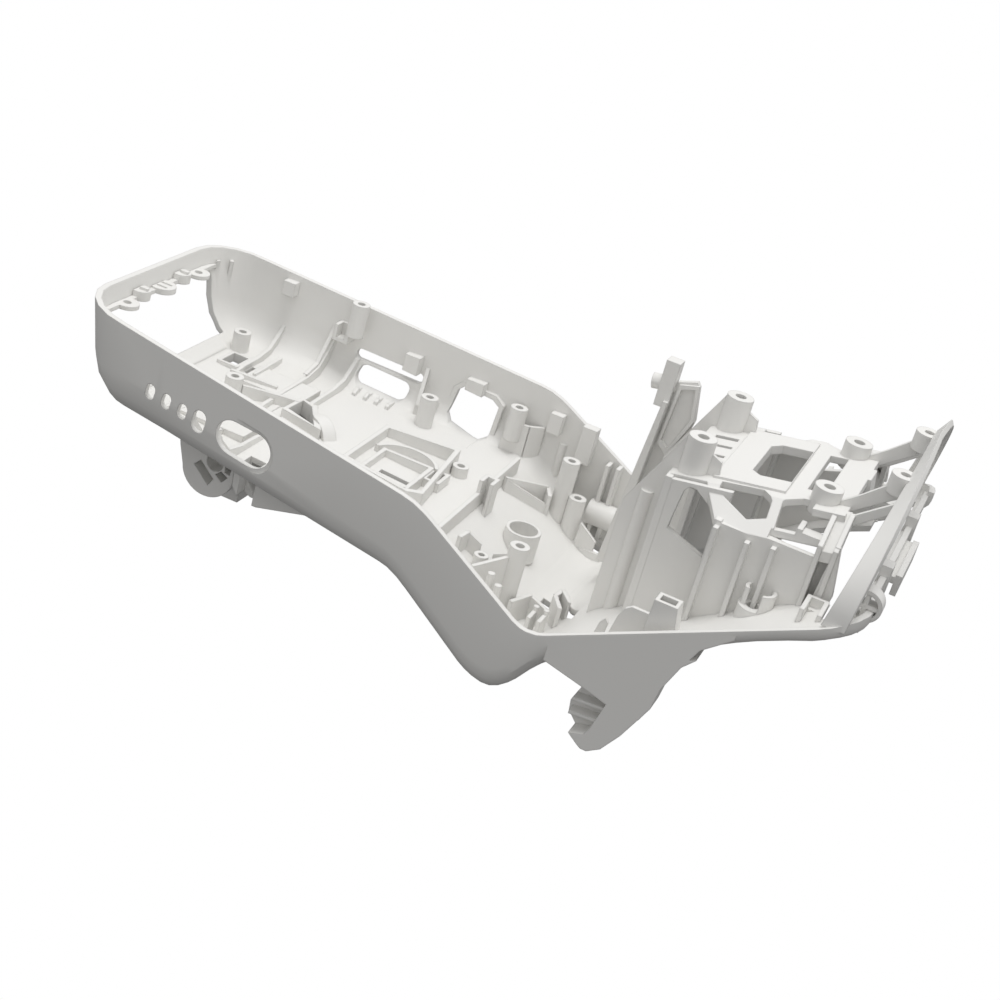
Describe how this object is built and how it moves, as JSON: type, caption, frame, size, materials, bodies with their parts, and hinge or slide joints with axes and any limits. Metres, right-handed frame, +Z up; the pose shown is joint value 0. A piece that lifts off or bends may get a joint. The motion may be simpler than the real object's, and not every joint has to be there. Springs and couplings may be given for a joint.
{
  "type": "injection_moulded_housing",
  "caption": "Long open injection moulded plastic housing with a dropped belly, arched nose, raised screw deck, ribbed floor, side port and moulded legs",
  "frame": {"origin": "centre of the bounding box in X and Y, level of the feet in Z", "axes": "X from the rear end to the arched nose, Y across to the wall with the vents, Z up along the screw bosses"},
  "size_m": [0.1958, 0.093, 0.08],
  "materials": {
    "moulded_plastic": "satin inside, fine even grain on the outer walls"
  },
  "bodies": {
    "root": {"housing": "moulded_plastic"}
  },
  "joints": []
}
